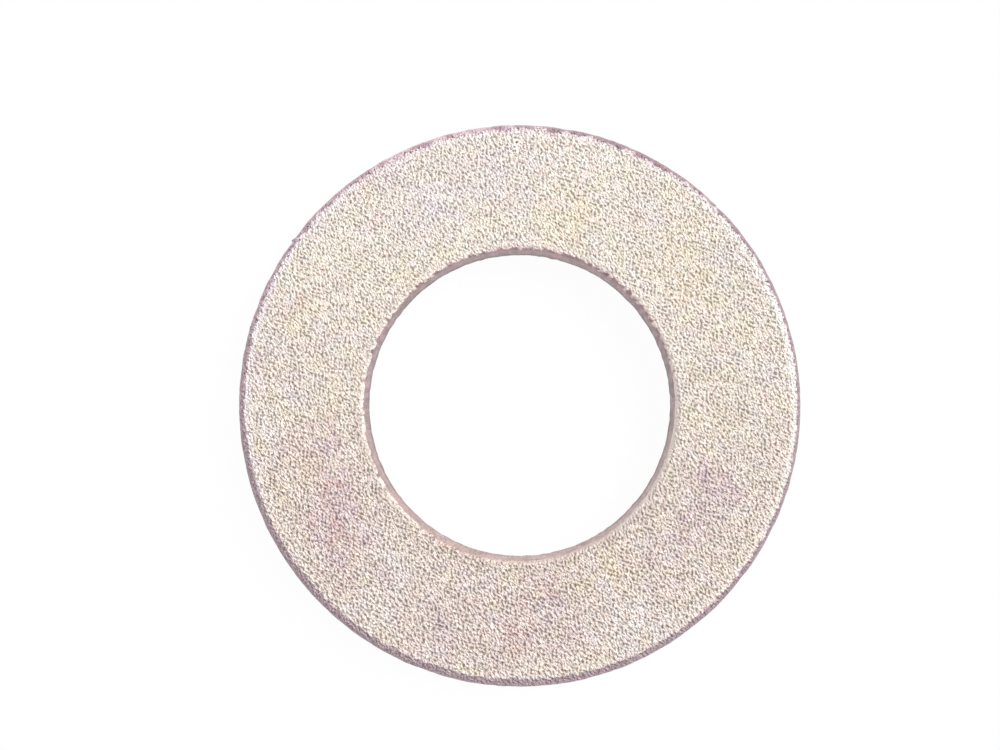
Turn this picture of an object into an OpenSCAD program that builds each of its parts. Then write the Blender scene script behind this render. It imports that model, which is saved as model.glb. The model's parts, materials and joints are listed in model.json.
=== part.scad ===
// Plain flat washer, stamped from steel plate in one stroke of a compound die.
// The punch pulls both upper edges over into a soft roll, cuts a smooth land below them,
// and tears the rest, so that both walls lean back below the land and end in a tumbled corner.
// The lower face lies on z = 0 and the bore runs along +Z.

/* [Ring] */
// Outside diameter, over the land of the rim
outer_d = 37.3; // [32:0.1:60]
// Bore diameter, at the land of the bore
bore_d = 20.6; // [8:0.1:26]
// Thickness between the two faces
thickness = 3.4; // [2.8:0.1:6]

/* [Upper edges] */
// Radius of the roll on the rim
rim_roll = 0.55; // [0.1:0.05:0.8]
// Radius of the roll on the bore's edge
bore_roll = 0.3; // [0.1:0.05:0.8]

/* [Sheared walls] */
// Height of the smooth land under the roll of the rim
rim_land = 1.1; // [0.3:0.1:1.5]
// Height of the smooth land under the roll of the bore
bore_land = 1.3; // [0.3:0.1:1.5]
// How far the torn wall of the rim leans in at the lower face
rim_lean = 0.14; // [0.02:0.01:0.4]
// How far the torn wall of the bore leans out at the lower face
bore_lean = 0.12; // [0.02:0.01:0.4]
// Radius of the tumbled corners on the lower face
lower_corner = 0.12; // [0.05:0.01:0.3]

/* [Hidden] */
$fn = 180;
zinc = [0.87, 0.83, 0.79];

module quarter_round(radius) {
    intersection() {
        circle(r = radius);
        square(2 * radius);
    }
}

// Section of one edge, drawn as if its land stood on x = 0 with the plate on the side of -x
module edge_section(depth, roll, land, lean) {
    roll_foot = thickness - roll;
    land_foot = roll_foot - land;
    corner_x = -lean - lower_corner;

    polygon([
        [-depth, 0],
        [corner_x, 0],
        [corner_x, lower_corner],
        [-lean, lower_corner],
        [0, land_foot],
        [0, roll_foot],
        [-roll, roll_foot],
        [-roll, thickness],
        [-depth, thickness]
    ]);
    translate([-roll, roll_foot]) quarter_round(roll);
    translate([corner_x, lower_corner]) mirror([0, 1]) quarter_round(lower_corner);
}

// Each edge's section takes in more than half of the ring's width, so the two overlap
module washer_section() {
    ring_width = (outer_d - bore_d) / 2;
    depth = 0.6 * ring_width;
    translate([outer_d / 2, 0]) edge_section(depth, rim_roll, rim_land, rim_lean);
    translate([bore_d / 2, 0]) mirror([1, 0]) edge_section(depth, bore_roll, bore_land, bore_lean);
}

module washer() {
    color(zinc) rotate_extrude() washer_section();
}

washer();
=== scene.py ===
import json
import math

import bpy
import numpy as np
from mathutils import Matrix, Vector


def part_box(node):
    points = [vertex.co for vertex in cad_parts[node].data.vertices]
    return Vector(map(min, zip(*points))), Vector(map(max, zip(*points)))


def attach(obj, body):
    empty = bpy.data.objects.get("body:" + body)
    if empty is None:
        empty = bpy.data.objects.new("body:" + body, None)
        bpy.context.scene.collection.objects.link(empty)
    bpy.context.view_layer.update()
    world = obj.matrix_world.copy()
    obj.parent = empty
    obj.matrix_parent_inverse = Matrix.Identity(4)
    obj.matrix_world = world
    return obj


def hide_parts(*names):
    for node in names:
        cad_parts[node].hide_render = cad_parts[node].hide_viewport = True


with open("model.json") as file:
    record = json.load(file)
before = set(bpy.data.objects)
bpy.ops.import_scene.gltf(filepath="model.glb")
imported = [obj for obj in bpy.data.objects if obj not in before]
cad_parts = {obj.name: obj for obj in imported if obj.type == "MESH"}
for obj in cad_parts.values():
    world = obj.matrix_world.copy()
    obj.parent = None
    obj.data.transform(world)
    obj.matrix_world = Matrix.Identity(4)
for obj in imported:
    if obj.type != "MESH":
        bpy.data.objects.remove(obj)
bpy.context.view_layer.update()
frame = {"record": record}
scene = bpy.context.scene


# The washer: a ring of mild steel plate, blanked and pierced in one stroke of a compound die.
# The stroke rolls both upper edges over, cuts a smooth land and tears the rest of each wall.
# Tumbling and the zinc bath leave a fine lumpy grain, and the passivation tints it cream and lilac.
MM = 0.001
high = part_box("washer")[1]
bolt_bore = next(m for m in frame["record"]["mounts"] if m["name"] == "bolt_bore")
outer_r, thickness = high.x, high.z
bore_r = bolt_bore["dims"]["r_mm"] * MM
bore_land = bolt_bore["dims"]["length_mm"] * MM
rim_land = 1.1 * MM
rim_roll, bore_roll = 0.55 * MM, 0.3 * MM
rim_lean, bore_lean = 0.14 * MM, 0.12 * MM
lower_corner = 0.12 * MM
columns_round = 650


def straight(start, end, steps):
    """Points of the section from start up to, but without, end."""
    return np.linspace(start, end, steps, endpoint=False)


def quarter(centre, radius, start, steps):
    """Points of a quarter round, turning clockwise from the angle start, without its end."""
    turn = np.radians(start - np.linspace(0, 90, steps, endpoint=False))
    return np.array(centre) + radius * np.stack([np.cos(turn), np.sin(turn)], 1)


rim_x, bore_x = outer_r - rim_lean, bore_r + bore_lean
rim_foot = thickness - rim_roll - rim_land
bore_foot = thickness - bore_roll - bore_land
stretches = {
    "upper_face": straight((bore_r + bore_roll, thickness), (outer_r - rim_roll, thickness), 52),
    "rim_roll": quarter((outer_r - rim_roll, thickness - rim_roll), rim_roll, 90, 9),
    "rim_land": straight((outer_r, thickness - rim_roll), (outer_r, rim_foot), 5),
    "rim_tear": straight((outer_r, rim_foot), (rim_x, lower_corner), 7),
    "rim_corner": quarter((rim_x - lower_corner, lower_corner), lower_corner, 0, 3),
    "lower_face": straight((rim_x - lower_corner, 0), (bore_x + lower_corner, 0), 26),
    "bore_corner": quarter((bore_x + lower_corner, lower_corner), lower_corner, 270, 3),
    "bore_tear": straight((bore_x, lower_corner), (bore_r, bore_foot), 5),
    "bore_land": straight((bore_r, bore_foot), (bore_r, thickness - bore_roll), 4),
    "bore_roll": quarter((bore_r + bore_roll, thickness - bore_roll), bore_roll, 180, 5),
}
section = np.concatenate(list(stretches.values()))
stretch_of = np.repeat(list(stretches), [len(s) for s in stretches.values()])
along = np.roll(section, -1, 0) - np.roll(section, 1, 0)
along /= np.linalg.norm(along, axis=1, keepdims=True)
outward = np.stack([-along[:, 1], along[:, 0]], 1)

# A thorn of metal hooks off the rim at the upper left, where the cut tore, and a nick lies opposite.
# Each is a path beside the rim, in mm: from where on the rim, to how far along it, and how far out of it.
thorn_at, nick_at = math.radians(144.1), math.radians(45.3)
thorn_path = ([-1.6, -0.6, -0.38, -0.2, 0.0, 0.08, 0.16, 0.3, 1.6],
              [-1.6, -0.6, -0.38, -0.18, 0.03, -0.1, -0.03, 0.26, 1.6],
              [0.0, -0.04, -0.04, 0.03, 0.1, 0.02, -0.06, -0.05, 0.0])
nick_path = ([-1.2, -0.3, -0.06, 0.02, 0.1, 0.6],
             [-1.2, -0.3, -0.06, 0.02, 0.1, 0.6],
             [0.0, -0.04, -0.09, -0.09, 0.02, 0.0])
flaws = ((thorn_at, thorn_path), (nick_at, nick_path))
fine_step = 0.025 * MM / outer_r
turn = np.linspace(0, 2 * math.pi, columns_round, endpoint=False)
for at, (start, along_rim, out) in flaws:
    first, last = at + start[0] * MM / outer_r, at + start[-1] * MM / outer_r
    turn = turn[(turn < first - fine_step) | (turn > last + fine_step)]
    turn = np.sort(np.append(turn, np.arange(first, last, fine_step)))
columns_round = len(turn)
out_of_rim = np.stack([np.cos(turn), np.sin(turn), np.zeros(columns_round)], 1)
round_rim = np.stack([-np.sin(turn), np.cos(turn), np.zeros(columns_round)], 1)


def swept(section_pairs):
    """Pairs of radius and height, one for each point of the section, carried round every column."""
    return section_pairs[:, :1, None] * out_of_rim + section_pairs[:, 1:, None] * np.array([0, 0, 1])


places, normals = swept(section), swept(outward)


def lumps(at, shortest, longest, seed, count=90):
    """Rolling relief of unit spread: waves between two lengths, running every way through the axes of at."""
    draw = np.random.default_rng(seed)
    ways = draw.normal(size=(count, at.shape[-1]))
    ways /= np.linalg.norm(ways, axis=1, keepdims=True)
    pitches = 2 * math.pi / draw.uniform(shortest, longest, count)
    starts = draw.uniform(0, 2 * math.pi, count)
    height = sum(np.cos(at @ way * pitch + start) for way, pitch, start in zip(ways, pitches, starts))
    return height * math.sqrt(2 / count)


def share_of(stretch_shares):
    """One value for each point of the section, given by stretch, and 0 on the others."""
    return np.array([stretch_shares.get(name, 0.0) for name in stretch_of])[:, None]


# Seen from above the grain only varies across the plate, so on the lands it runs down as shear lines
grain = lumps(places[..., :2], 0.42 * MM, 1.0 * MM, seed=3)
grain_depth = share_of({"upper_face": 2.6e-6, "lower_face": 4e-6, "rim_roll": 6e-6, "bore_roll": 4e-6,
                        "rim_land": 4e-6, "bore_land": 4e-6, "rim_corner": 5e-6, "bore_corner": 5e-6})
torn = lumps(places, 0.4 * MM, 1.1 * MM, seed=5)
torn_depth = share_of({"rim_tear": 16e-6, "bore_tear": 12e-6, "rim_corner": 8e-6, "bore_corner": 6e-6})
ripple = lumps(places[..., :2], 1.2 * MM, 4.0 * MM, seed=7)
ripple_depth = share_of({"rim_roll": 9e-6, "rim_land": 9e-6, "rim_tear": 9e-6, "rim_corner": 9e-6,
                         "bore_roll": 5e-6, "bore_land": 5e-6, "bore_tear": 5e-6, "bore_corner": 5e-6})
raised = grain * grain_depth + torn * torn_depth + (ripple - 1.5) * ripple_depth
places = places + normals * raised[..., None]
flaw_spread = 0.4 * MM
below_roll = thickness - rim_roll - section[:, 1]
flaw_depth = np.exp(-(below_roll / flaw_spread) ** 2) * np.clip(outward[:, 0], 0, 1)
for at, (start, along_rim, out) in flaws:
    way = np.clip((turn - at) * outer_r / MM, start[0], start[-1])
    carried = (np.interp(way, start, along_rim) - way)[:, None] * round_rim
    carried += np.interp(way, start, out)[:, None] * out_of_rim
    places += flaw_depth[:, None, None] * carried * MM

ring_points = places.reshape(-1, 3)
rows, columns = np.meshgrid(np.arange(len(section)), np.arange(columns_round), indexing="ij")


def point_at(row, column):
    """The number of the point in a row and a column, where the first follows the last."""
    return (row % len(section)) * columns_round + column % columns_round


ring_faces = np.stack([point_at(rows, columns), point_at(rows + 1, columns),
                       point_at(rows + 1, columns + 1), point_at(rows, columns + 1)], -1).reshape(-1, 4)

ring_mesh = bpy.data.meshes.new("washer_ring")
ring_mesh.from_pydata(ring_points.tolist(), [], ring_faces.tolist())
ring_mesh.polygons.foreach_set("use_smooth", np.ones(len(ring_mesh.polygons), bool))
washer = bpy.data.objects.new("washer_ring", ring_mesh)
scene.collection.objects.link(washer)

# The finish is laid out on two discs, one for each face, with the nearer half of both walls rolled out
# round it. The discs lie on the diagonal of the square map, with a gap round each.
travelled = np.append(0, np.cumsum(np.linalg.norm(np.roll(section, -1, 0) - section, axis=1)))
row_of = {name: list(stretch_of).index(name) for name in stretches}
row = np.arange(len(section))
lower_row = (row >= row_of["rim_tear"]) & (row < row_of["bore_land"])


def map_radius(way):
    """How far from its disc's middle each row lies, given the way travelled along the section to it."""
    over_top = bore_r + bore_roll + way - np.where(row >= row_of["bore_land"], travelled[-1], 0)
    under = rim_x - lower_corner - way + travelled[row_of["lower_face"]]
    return np.where(lower_row, under, over_top)


upper_reach = map_radius(travelled[1:])[row_of["rim_tear"] - 1]
lower_reach = map_radius(travelled[:-1])[row_of["rim_tear"]]
map_gap = 0.004
map_scale = (math.sqrt(2) * (1 - 2 * map_gap) - map_gap) / (1 + math.sqrt(2)) / (upper_reach + lower_reach)
map_middle = np.where(lower_row, 1 - map_gap - map_scale * lower_reach, map_gap + map_scale * upper_reach)
map_side = np.where(lower_row, -1, 1)
map_corners = []
for way, next_column in ((travelled[:-1], 0), (travelled[1:], 0), (travelled[1:], 1), (travelled[:-1], 1)):
    reach = map_scale * map_radius(way)
    corner_turn = np.roll(turn, -next_column)
    map_corners.append(np.stack([map_middle[:, None] + np.outer(reach * map_side, np.cos(corner_turn)),
                                 map_middle[:, None] + np.outer(reach, np.sin(corner_turn))], -1))
ring_mesh.uv_layers.new(name="OFBake").data.foreach_set("uv", np.stack(map_corners, 2).ravel())

zinc = bpy.data.materials.new("chromated_zinc")
zinc.use_nodes = True
nodes, links = zinc.node_tree.nodes, zinc.node_tree.links
shader = nodes["Principled BSDF"]


def add(kind, inputs, **settings):
    """A new node with its settings, and with its inputs set or linked by name or number."""
    made = nodes.new(kind)
    for name, value in settings.items():
        setattr(made, name, value)
    for name, value in inputs.items():
        if isinstance(value, bpy.types.NodeSocket):
            links.new(value, made.inputs[name])
        else:
            made.inputs[name].default_value = value
    return made


def maths(operation, a, b=0.0):
    return add("ShaderNodeMath", {0: a, 1: b}, operation=operation).outputs[0]


def fade(value, start, end):
    """0 at start, 1 at end, and a smooth change between them."""
    return add("ShaderNodeMapRange", {"Value": value, "From Min": start, "From Max": end},
               interpolation_type="SMOOTHSTEP").outputs["Result"]


def tinted(share, base, tint, how="MIX"):
    made = add("ShaderNodeMix", {"Factor": share}, data_type="RGBA", blend_type=how)
    for socket, colour in ((made.inputs[6], base), (made.inputs[7], tint)):
        if isinstance(colour, bpy.types.NodeSocket):
            links.new(colour, socket)
        else:
            socket.default_value = (*colour, 1)
    return made.outputs[2]


def srgb(*levels):
    """A colour as it is read off a screen, 0 to 255, turned into the shader's own numbers."""
    parts = [level / 255 for level in levels]
    return tuple(p / 12.92 if p <= 0.04045 else ((p + 0.055) / 1.055) ** 2.4 for p in parts)


place = add("ShaderNodeTexCoord", {}).outputs["Object"]
flat_place = add("ShaderNodeVectorMath", {0: place, 1: (1, 1, 0)}, operation="MULTIPLY").outputs[0]
from_axis = add("ShaderNodeVectorMath", {0: flat_place}, operation="LENGTH").outputs["Value"]


def speckle(size, detail=0.0, offset=0.0, output="Fac", at=place, axes="3D"):
    """Soft random values about 0.5, with lumps of about this size."""
    moved = add("ShaderNodeVectorMath", {0: at, 1: (offset * MM,) * 3}, operation="ADD").outputs[0]
    return add("ShaderNodeTexNoise", {"Vector": moved, "Scale": 1 / size, "Detail": detail},
               noise_dimensions=axes).outputs[output]


def times(value, share):
    return maths("MULTIPLY", value, share)


def off(value):
    """The rest of a share: 1 where it is 0."""
    return maths("SUBTRACT", 1.0, value)


# The bath's tint drifts over the plate in soft lumps, and gathers in broken patches.
# Each patch is a spot on the upper face: its x, y and reach in mm, and the share of tint in its middle.
patch_wander = 4.5 * MM
wander = add("ShaderNodeVectorMath", {0: speckle(1.5 * MM, 2.0, 60, "Color"), 1: (0.5, 0.5, 0.5)},
             operation="SUBTRACT").outputs[0]
wander = add("ShaderNodeVectorMath", {0: wander, "Scale": patch_wander}, operation="SCALE").outputs[0]
wandering_place = add("ShaderNodeVectorMath", {0: place, 1: wander}, operation="ADD").outputs[0]


def apart(here, there):
    return add("ShaderNodeVectorMath", {0: here, 1: there}, operation="DISTANCE").outputs["Value"]


def distance_to(x, y, here=place):
    """The distance to a point of the upper face, given in mm."""
    return apart(here, (x * MM, y * MM, thickness))


def patches(spots):
    """The share of a tint that gathers in these spots."""
    soft_edge = 1.25
    total = 0.0
    for x, y, reach, share in spots:
        spot = times(fade(distance_to(x, y, wandering_place), soft_edge * reach * MM, 0.0), share)
        total = maths("MAXIMUM", spot, total)
    return total


mauve_spots = [
    (-12.1, -7.9, 3.2, 1.0), (-12.2, -5.2, 2.2, 0.9), (-11.4, -10.4, 2.6, 0.8), (-14.6, -3.0, 2.2, 0.6),
    (-12.7, -2.1, 2.2, 0.75), (12.9, -5.0, 2.2, 0.9), (11.2, -7.4, 2.6, 0.8), (9.7, -8.7, 2.0, 0.5),
    (-5.4, -14.6, 3.0, 0.5), (-2.6, -14.2, 2.4, 0.5), (1.5, -12.7, 2.6, 0.75), (-0.2, -15.2, 2.8, 0.75),
    (2.7, -15.2, 2.4, 0.45), (-9.4, 14.6, 1.4, 0.5), (-15.2, 6.4, 1.3, 0.35), (-16.6, 3.3, 1.4, 0.4),
    (0.2, 13.2, 1.6, 0.3),
]
lavender_spots = [
    (-5.9, 13.5, 3.2, 1.0), (-1.2, 14.6, 2.2, 0.55), (-8.6, -10.4, 1.8, 0.6), (-14.6, 1.4, 1.8, 0.6),
    (14.0, 10.4, 2.0, 0.4), (-4.0, 17.0, 2.4, 1.0), (-5.2, -15.0, 1.8, 0.6),
]
straw_spots = [
    (10.6, 8.9, 3.0, 1.0), (3.7, 12.5, 2.8, 1.0), (-14.4, 5.8, 1.8, 0.8), (-15.1, -5.9, 1.6, 1.0),
    (-7.2, 8.6, 2.2, 0.8), (6.0, -10.3, 2.0, 1.0), (0.0, -11.3, 1.6, 1.0), (15.3, 5.2, 2.2, 0.3),
    (13.4, -1.0, 2.4, 0.45), (-11.0, 9.2, 1.9, 1.0), (-14.8, -4.4, 1.9, 1.0), (11.5, 11.3, 2.0, 0.8),
    (4.0, -11.2, 1.8, 0.9), (-12.9, 0.1, 1.8, 0.8),
]
pale_spots = [
    (7.0, -14.5, 2.6, 1.0), (-11.2, 10.2, 2.8, 0.5), (4.7, 16.8, 2.4, 0.6), (-7.9, -10.2, 2.0, 0.5),
    (-16.5, -2.0, 1.6, 0.6), (-9.2, -13.1, 2.0, 0.7),
]
rightward, upward, height = add("ShaderNodeSeparateXYZ", {0: place}).outputs
to_upper_right = maths("ADD", rightward, upward)
cream = srgb(246, 236, 223)
rosy_cream_and_shade = srgb(245, 225, 217)
chalk = srgb(247, 237, 231)
sand_painted_shade = srgb(241, 230, 216)
pale_straw = srgb(249, 238, 213)
shell_pink = srgb(251, 230, 224)
lilac_white = srgb(244, 236, 239)
straw = srgb(246, 231, 200)
lavender = srgb(239, 229, 235)
near_white = srgb(252, 246, 244)
cool_mauve = srgb(230, 206, 214)
warm_mauve = srgb(236, 204, 200)
broken = fade(speckle(0.9 * MM, 1.0, 15), 0.25, 0.6)
# Painted shade on the plate: it is pinker and darker towards the bottom, partly a tint and partly painted
# shade for the light falling off there, and painted darker at the right, where the side lamp lights it most.
lower = fade(upward, 12 * MM, -13 * MM)
plate = tinted(times(lower, 0.6), cream, rosy_cream_and_shade)
plate = tinted(times(fade(upward, 8 * MM, 15 * MM), 0.4), plate, chalk)
plate = tinted(times(fade(rightward, 6 * MM, 16 * MM), 0.35), plate, sand_painted_shade)
plate = tinted(times(fade(speckle(1.3 * MM, 0.5, 10), 0.42, 0.66), 0.4), plate, pale_straw)
plate = tinted(times(fade(speckle(1.1 * MM, 0.5, 20), 0.46, 0.68), 0.5), plate, shell_pink)
plate = tinted(times(fade(speckle(1.2 * MM, 0.5, 25), 0.48, 0.7), 0.4), plate, lilac_white)
plate = tinted(times(times(patches(straw_spots), broken), 0.6), plate, straw)
plate = tinted(times(times(patches(lavender_spots), broken), 0.75), plate, lavender)
pale = times(patches(pale_spots), broken)
plate = tinted(times(pale, 0.7), plate, near_white)
redder = maths("SUBTRACT", speckle(1.0 * MM, 2.0, 40), times(fade(rightward, 0.0, 10 * MM), 0.1))
mauve = tinted(fade(redder, 0.44, 0.6), cool_mauve, warm_mauve)
plate = tinted(times(patches(mauve_spots), broken), plate, mauve)

# Both edges took more of the bath's tint than the face, and their mauve is partly painted shade on the steep
# edges. The rim has a thin band all round, and a wider crescent at the lower left, drawn from a ring a little
# off centre, which is painted shade on the side turned away from the lamp.
crescent_width, band_width = 0.47 * MM, 0.42 * MM
edge_lumps = times(maths("SUBTRACT", speckle(0.45 * MM, 2.0, 30), 0.5), 0.5 * MM)
tint_middle = (0.11 * MM, 0.235 * MM, 0)
from_tint = apart(flat_place, tint_middle)
into_crescent = maths("SUBTRACT", maths("ADD", from_tint, edge_lumps), outer_r - crescent_width)
into_band = maths("SUBTRACT", maths("ADD", from_axis, edge_lumps), outer_r - band_width)
top_lumps = speckle(0.9 * MM, 1.0, 75)
reach_in = times(maths("SUBTRACT", top_lumps, 0.5), times(fade(upward, 4 * MM, 15 * MM), 0.7 * MM))
into_rim_tint = maths("ADD", maths("MAXIMUM", into_crescent, into_band), reach_in)

# The grain: pale plateaus and dark pits between them, drawn out a little the way the plate was rolled.
# It is coarser and deeper towards the bottom, and beside the rim and the bore it is smoothed and painted
# pale, with fewer pits, as a highlight along their rolled edges.
across_rolling, drawn_out = math.radians(34), 1.12
grain_place = add("ShaderNodeMapping", {"Vector": place, "Rotation": (0, 0, across_rolling),
                                        "Scale": (1 / drawn_out, drawn_out, 1)},
                  vector_type="TEXTURE").outputs[0]
clump, clump_share, speckle_mean = 0.2 * MM, 0.1, 0.5


def crisp_grain(size, offset):
    """Grain that hardly clumps: a speckle, less a share of itself a little way off on four sides."""
    around = 0.0
    for aside in ((clump, 0, 0), (-clump, 0, 0), (0, clump, 0), (0, -clump, 0)):
        there = add("ShaderNodeVectorMath", {0: grain_place, 1: aside}, operation="ADD").outputs[0]
        around = maths("ADD", speckle(size, offset=offset, at=there, axes="2D"), around)
    here = speckle(size, offset=offset, at=grain_place, axes="2D")
    return maths("SUBTRACT", here, times(maths("SUBTRACT", around, 4 * speckle_mean), clump_share))


small_grain = crisp_grain(0.172 * MM, 0)
tiny_grain = speckle(0.1 * MM, offset=80, at=grain_place, axes="2D")
coarse_grain = crisp_grain(0.192 * MM, 95)
fine_grain = maths("ADD", small_grain, times(tiny_grain, maths("SUBTRACT", 0.5, times(lower, 0.12))))
twice_coarse = maths("ADD", coarse_grain, coarse_grain)
coarser = times(maths("SUBTRACT", twice_coarse, fine_grain), times(lower, 0.22))
face_grain = maths("ADD", fine_grain, coarser)
wall_grain = maths("ADD", speckle(0.16 * MM), 0.25)
off_middle = maths("ABSOLUTE", maths("SUBTRACT", height, thickness / 2))
on_face = fade(off_middle, thickness / 2 - 0.3 * MM, thickness / 2 - 0.08 * MM)
face_rise = times(maths("SUBTRACT", face_grain, wall_grain), on_face)
grain_height = maths("ADD", wall_grain, face_rise)
# Painted highlight: in a band beside the rim and the bore, the face is painted pale and keeps fewer pits,
# most at the top.
side_highlight_strength = maths("ADD", times(fade(upward, -10 * MM, 5 * MM), 0.9), 0.1)
rim_side_highlight = times(fade(into_rim_tint, -0.48 * MM, -0.1 * MM), side_highlight_strength)
bore_side_highlight = times(fade(from_axis, bore_r + 0.62 * MM, bore_r + 0.42 * MM), side_highlight_strength)
at_right = times(fade(rightward, 6 * MM, 16 * MM), fade(upward, 12 * MM, 5 * MM))
# Partly polish and partly painted highlight: on the rolled rim and bore edges the relief is smoothed and the
# pits are cleared, most at the right, and the bore's roll is painted pale.
rim_polish_and_highlight = times(fade(into_rim_tint, -0.3 * MM, -0.18 * MM), maths("ADD", times(at_right, 0.5), 0.14))
bore_polish_and_highlight = times(fade(from_axis, bore_r + 0.27 * MM, bore_r + 0.15 * MM),
                    maths("ADD", times(fade(rightward, -6 * MM, 8 * MM), 0.4), 0.32))
pin_hole_at = distance_to(-0.2, 17.38)
round_pin_hole = fade(pin_hole_at, 0.3 * MM, 0.2 * MM)
polish_and_highlight_share = maths("MAXIMUM", maths("MAXIMUM", rim_polish_and_highlight, bore_polish_and_highlight), round_pin_hole)
pale_edge_highlight = maths("MAXIMUM", rim_side_highlight, bore_side_highlight)
calm = times(fade(speckle(0.45 * MM, 1.0, 90), 0.56, 0.7), off(times(lower, 0.6)))
pits = fade(maths("SUBTRACT", grain_height, times(lower, 0.025)), 0.71, 0.43)
pits = times(pits, 0.8)
pits = times(pits, times(off(times(calm, 0.25)), off(times(pale, 0.2))))
pits = times(times(pits, off(times(pale_edge_highlight, 0.6))), off(times(polish_and_highlight_share, 0.9)))
brown_pit = (0.38, 0.35, 0.3)
pink_pit = (0.4, 0.335, 0.325)
highlight_lilac = srgb(252, 240, 243)
highlight_white = srgb(251, 244, 241)
calm_cream = srgb(240, 232, 222)
bore_highlight_tint = srgb(247, 235, 227)
polish_highlight_tint = srgb(251, 241, 236)
bore_shade = srgb(226, 208, 197)
pin_hole_shade = srgb(70, 60, 54)
pinker = maths("ADD", speckle(0.7 * MM, 1.0, 35), times(fade(to_upper_right, 14 * MM, -14 * MM), 0.16))
pit_shade = tinted(fade(pinker, 0.48, 0.68), brown_pit, pink_pit)
rim_highlight_tint = tinted(fade(rightward, -12 * MM, 12 * MM), highlight_lilac, highlight_white)
face = tinted(times(calm, 0.4), plate, calm_cream)
face = tinted(times(rim_side_highlight, 0.9), face, rim_highlight_tint)
face = tinted(times(bore_side_highlight, 0.4), face, bore_highlight_tint)
# Painted highlight on the bore's roll.
face = tinted(times(bore_polish_and_highlight, 0.8), face, polish_highlight_tint)
low_or_left = maths("ADD", times(fade(upward, 0.0, -8 * MM), 0.35),
                    times(fade(rightward, -4 * MM, -9 * MM), 0.25))
round_bore = times(fade(from_axis, bore_r + 1.3 * MM, bore_r + 0.4 * MM),
                   fade(from_axis, bore_r + 0.15 * MM, bore_r + 0.32 * MM))
below_bore = times(low_or_left, round_bore)
face = tinted(below_bore, face, bore_shade)
# The pits are darkened in colour: partly darker film held in the hollows, partly painted shade in them.
face = tinted(pits, face, pit_shade, "MULTIPLY")
# A pin hole, painted dark as the shade in it, since the mesh has no hole there.
face = tinted(fade(pin_hole_at, 0.11 * MM, 0.05 * MM), face, pin_hole_shade)

# The rim is mauve, and further in at the lower left.
# It is smooth there, and lumpy and pinker, with dark specks, along the top.
rim_dark = srgb(171, 148, 156)
rim_light = srgb(214, 188, 196)
rim_grey = srgb(176, 163, 165)
top_pink = srgb(238, 210, 216)
top_dark = srgb(196, 160, 171)
upper_right_painted_shade = srgb(144, 123, 130)
lower_right_painted_shade = srgb(150, 130, 137)
blush_pink = srgb(233, 208, 213)
speck_dark = srgb(96, 84, 86)
on_rim = fade(into_rim_tint, 0.0, 0.14 * MM)
lumpy = maths("ADD", times(fade(upward, -8 * MM, 10 * MM), 0.65), 0.35)
mauve_lumps = times(fade(speckle(0.26 * MM, 1.0, 50), 0.36, 0.64), lumpy)
rim_mauve = tinted(mauve_lumps, rim_dark, rim_light)
rim_mauve = tinted(times(fade(speckle(0.5 * MM, 1.0, 55), 0.5, 0.64), 0.5), rim_mauve, rim_grey)
rim_top = tinted(fade(top_lumps, 0.44, 0.6), top_pink, top_dark)
rim_mauve = tinted(times(fade(upward, 10 * MM, 18 * MM), 0.75), rim_mauve, rim_top)
# Painted shade: the rim is painted darker at the upper right and at the lower right, where the side lamp
# lights it most.
rim_mauve = tinted(times(fade(to_upper_right, 12 * MM, 26 * MM), 0.7), rim_mauve, upper_right_painted_shade)
at_lower_right = times(fade(rightward, 6 * MM, 15 * MM), fade(upward, 6 * MM, -1 * MM))
rim_mauve = tinted(times(at_lower_right, 0.5), rim_mauve, lower_right_painted_shade)
speck_band = times(fade(from_axis, outer_r - 0.62 * MM, outer_r - 0.5 * MM),
                   fade(from_axis, outer_r - 0.2 * MM, outer_r - 0.34 * MM))
specks = times(times(fade(speckle(0.14 * MM, 0.0, 70), 0.63, 0.69), speck_band), lumpy)
blush = times(fade(into_rim_tint, -0.2 * MM, 0.0), fade(upward, 9 * MM, 17 * MM))
colour = tinted(times(blush, 0.75), face, blush_pink)
colour = tinted(on_rim, colour, rim_mauve)
colour = tinted(times(specks, 0.85), colour, speck_dark)

# In the bore the mauve runs down in streaks to a line of painted shade at the foot.
# It is darkest at the upper right. It is painted lighter at the top and the lower right as painted light, and
# lighter and tan below, partly a tan tint and partly painted light.
bore_left = srgb(146, 122, 126)
bore_right = srgb(143, 116, 123)
bore_top_painted_light = srgb(196, 166, 172)
bore_tan_and_light = srgb(217, 189, 176)
bore_rose_painted_light = srgb(226, 197, 195)
streak_light = srgb(220, 187, 194)
streak_dark = srgb(150, 132, 132)
bore_brown = srgb(178, 152, 142)
blotch_pink = srgb(206, 164, 166)
blotch_dark = srgb(132, 118, 124)
foot_painted_shade = srgb(104, 90, 93)
fringe_pink = srgb(238, 208, 204)
low_roll_tan = srgb(216, 190, 175)
right_roll_tan = srgb(204, 187, 178)
streak_place = add("ShaderNodeVectorMath", {0: place, 1: (1, 1, 0.15)}, operation="MULTIPLY").outputs[0]
streaks = speckle(0.4 * MM, 2.0, at=streak_place)
in_bore = fade(from_axis, bore_r + 0.32 * MM, bore_r + 0.14 * MM)
to_lower_right = maths("SUBTRACT", rightward, upward)
clear_of_edge = times(fade(to_lower_right, 4 * MM, 15 * MM), 0.4 * MM)
tint_rise = maths("ADD", maths("ADD", height, clear_of_edge), times(edge_lumps, 2.2))
on_bore_wall = times(in_bore, fade(tint_rise, thickness - 0.1 * MM, thickness - 0.24 * MM))
bore_tint_middle = (0.07 * MM, 0.28 * MM, 0)
to_bore_tint = maths("ADD", apart(flat_place, bore_tint_middle), times(edge_lumps, 1.5))
on_bore_roll = fade(to_bore_tint, bore_r - 0.1 * MM, bore_r - 0.18 * MM)
bore_mauve = tinted(fade(to_upper_right, -6 * MM, 14 * MM), bore_left, bore_right)
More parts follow.
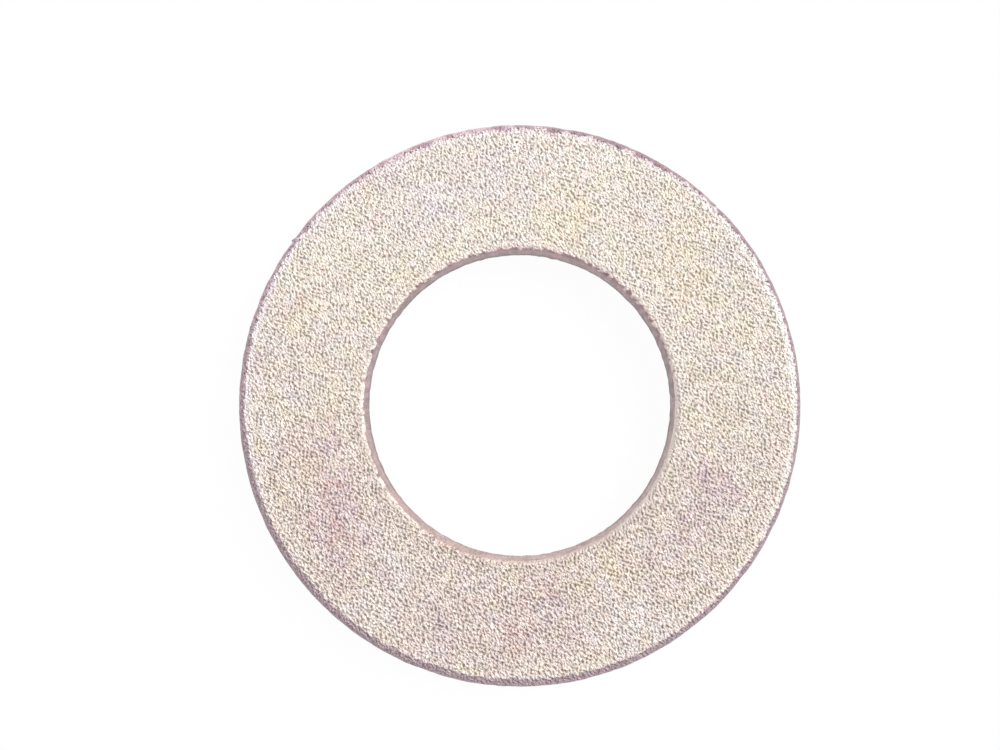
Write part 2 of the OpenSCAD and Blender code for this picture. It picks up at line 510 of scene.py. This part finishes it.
bore_mauve = tinted(times(fade(upward, 6 * MM, 10 * MM), 0.6), bore_mauve, bore_top_painted_light)
tan_share = maths("ADD", times(fade(rightward, -8 * MM, 0.0), 0.31), 0.66)
tan = times(fade(upward, 2 * MM, -9 * MM), tan_share)
bore_mauve = tinted(tan, bore_mauve, bore_tan_and_light)
bore_mauve = tinted(times(fade(to_lower_right, 8 * MM, 17 * MM), 0.9), bore_mauve, bore_rose_painted_light)
bore_mauve = tinted(times(fade(streaks, 0.4, 0.66), 0.5), bore_mauve, streak_light)
bore_mauve = tinted(times(fade(streaks, 0.44, 0.3), 0.45), bore_mauve, streak_dark)
bore_mauve = tinted(times(fade(speckle(0.8 * MM, 2.0, 65), 0.46, 0.62), 0.5), bore_mauve, bore_brown)
bore_blotches = speckle(1.3 * MM, 2.0, 85)
bore_mauve = tinted(times(fade(bore_blotches, 0.52, 0.64), 0.4), bore_mauve, blotch_pink)
bore_mauve = tinted(times(fade(bore_blotches, 0.47, 0.34), 0.4), bore_mauve, blotch_dark)
# Painted shade along the foot of the wall, where it meets the paper.
foot = times(fade(height, 1.8 * MM, 0.4 * MM), off(times(fade(upward, -6 * MM, -10 * MM), 0.6)))
bore_mauve = tinted(times(foot, 0.62), bore_mauve, foot_painted_shade)
fringe = fade(to_bore_tint, bore_r + 0.02 * MM, bore_r - 0.1 * MM)
colour = tinted(times(fringe, 0.5), colour, fringe_pink)
low_roll = times(fade(maths("ADD", from_axis, edge_lumps), bore_r + 0.34 * MM, bore_r + 0.1 * MM),
                 fade(upward, -7 * MM, -10 * MM))
colour = tinted(times(low_roll, 0.55), colour, low_roll_tan)
right_roll = times(fade(from_axis, bore_r + 0.38 * MM, bore_r + 0.26 * MM),
                   fade(from_axis, bore_r + 0.08 * MM, bore_r + 0.2 * MM))
right_roll = times(right_roll, times(fade(to_lower_right, 4 * MM, 12 * MM), fade(rightward, 0.0, 6 * MM)))
colour = tinted(times(right_roll, 0.45), colour, right_roll_tan)
colour = tinted(maths("MAXIMUM", on_bore_wall, on_bore_roll), colour, bore_mauve)

# The thorn has the darkest stain of all, at its tip
thorn_dark = srgb(122, 106, 110)
thorn_r = outer_r + 0.1 * MM
thorn_tip = (thorn_r * math.cos(thorn_at), thorn_r * math.sin(thorn_at), 0)
round_thorn = fade(apart(flat_place, thorn_tip), 0.3 * MM, 0.1 * MM)
thorn_stain = times(round_thorn, fade(height, thickness - 1.1 * MM, thickness - 0.8 * MM))
colour = tinted(times(thorn_stain, 0.7), colour, thorn_dark)

# The plate is mostly matte, and a little rougher in the pits, which also stand in relief
metal_share, rough_plateau, rough_pit = 0.2, 0.45, 0.55
grain_relief = 0.188 * MM
links.new(colour, shader.inputs["Base Color"])
shader.inputs["Metallic"].default_value = metal_share
rough = add("ShaderNodeMapRange", {"Value": pits, "To Min": rough_plateau, "To Max": rough_pit})
links.new(rough.outputs["Result"], shader.inputs["Roughness"])
relief = times(maths("SUBTRACT", grain_height, 0.75), maths("ADD", times(lower, 0.6), 0.88))
relief = times(relief, times(off(times(polish_and_highlight_share, 0.6)), off(times(calm, 0.3))))
bump = add("ShaderNodeBump", {"Height": relief, "Strength": 1.0, "Distance": grain_relief})
links.new(bump.outputs["Normal"], shader.inputs["Normal"])

ring_mesh.materials.append(zinc)
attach(washer, "root")
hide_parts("washer")


# The ground: a wide sheet of white paper that sweeps up into a low wall all round, well outside the view.
# It shows as white to the camera and in the metal, and keeps a faint shadow under the washer.
paper_flat_r, paper_bend_r, paper_wall = 0.45, 0.12, 0.12
paper_drop = 0.03 * MM
paper_glow = 0.97
paper_turn = np.radians(np.linspace(-90, 0, 13))
paper_section = [(0.0, 0.0)]
for a in paper_turn:
    paper_section.append((paper_flat_r + paper_bend_r * math.cos(a), paper_bend_r * (1 + math.sin(a))))
paper_section.append((paper_flat_r + paper_bend_r, paper_bend_r + paper_wall))
paper_sides = 96
paper_points = [
    (r * math.cos(2 * math.pi * k / paper_sides), r * math.sin(2 * math.pi * k / paper_sides), z - paper_drop)
    for r, z in paper_section for k in range(paper_sides)
]
paper_faces = [
    (row * paper_sides + k, row * paper_sides + (k + 1) % paper_sides,
     (row + 1) * paper_sides + (k + 1) % paper_sides, (row + 1) * paper_sides + k)
    for row in range(len(paper_section) - 1) for k in range(paper_sides)
]
sheet_mesh = bpy.data.meshes.new("white_sheet")
sheet_mesh.from_pydata(paper_points, [], paper_faces)
sheet_mesh.polygons.foreach_set("use_smooth", np.ones(len(sheet_mesh.polygons), bool))
sheet = bpy.data.objects.new("white_sheet", sheet_mesh)
scene.collection.objects.link(sheet)
paper = bpy.data.materials.new("white_paper")
paper.use_nodes = True
nodes, links = paper.node_tree.nodes, paper.node_tree.links
nodes.clear()
path = add("ShaderNodeLightPath", {})
seen = maths("MAXIMUM", maths("MAXIMUM", path.outputs["Is Camera Ray"], path.outputs["Is Glossy Ray"]),
             path.outputs["Is Transmission Ray"])
matte = add("ShaderNodeBsdfDiffuse", {"Color": (0.9, 0.9, 0.9, 1)}).outputs[0]
white = add("ShaderNodeEmission", {"Color": (1, 1, 1, 1), "Strength": 1.0}).outputs[0]
paper_surface = add("ShaderNodeMixShader", {0: times(seen, paper_glow), 1: matte, 2: white}).outputs[0]
add("ShaderNodeOutputMaterial", {"Surface": paper_surface})
sheet_mesh.materials.append(paper)


# The light: a lamp at the upper right of the picture, leaning in over the washer, that brings the grain out.
# A dim broad panel hangs overhead, and an even room stands round it all.
room_level = 0.28
room = bpy.data.worlds.new("pale_room")
room.use_nodes = True
room.node_tree.nodes["Background"].inputs["Color"].default_value = (1, 1, 1, 1)
room.node_tree.nodes["Background"].inputs["Strength"].default_value = room_level
scene.world = room


def soft_lamp(name, size, level, way, lean, away):
    """A square lamp of this brightness, so far away, at a way round the washer and a lean off upright."""
    lamp = bpy.data.lights.new(name, "AREA")
    lamp.shape = "SQUARE"
    lamp.size = size
    lamp.energy = math.pi * size ** 2 * level
    holder = bpy.data.objects.new(name, lamp)
    way, lean = math.radians(way), math.radians(lean)
    out = away * math.sin(lean)
    holder.location = (out * math.cos(way), out * math.sin(way), away * math.cos(lean))
    holder.rotation_euler = (0, lean, way)
    scene.collection.objects.link(holder)


soft_lamp("broad_panel", size=0.8, level=0.3, way=161, lean=13, away=0.7)
soft_lamp("side_lamp", size=1.3, level=17.3, way=29, lean=41.5, away=3.0)


# The camera: straight above the bore, close to, with the picture's up along +Y.
# The picture is a crop that leaves the washer right of and below its middle,
# so the lens is shifted by that much.
lens = bpy.data.cameras.new("overhead")
camera = bpy.data.objects.new("overhead", lens)
above = 62 * MM
field = 65.9 * MM
sensor = 36.0
lens.sensor_width = sensor
lens.lens = sensor * above / field
lens.shift_x, lens.shift_y = -0.0198, 0.0233
lens.clip_start, lens.clip_end = 0.001, 10
camera.location = (0, 0.5 * MM, thickness + above)
scene.collection.objects.link(camera)
scene.camera = camera

scene.view_settings.view_transform = "Standard"
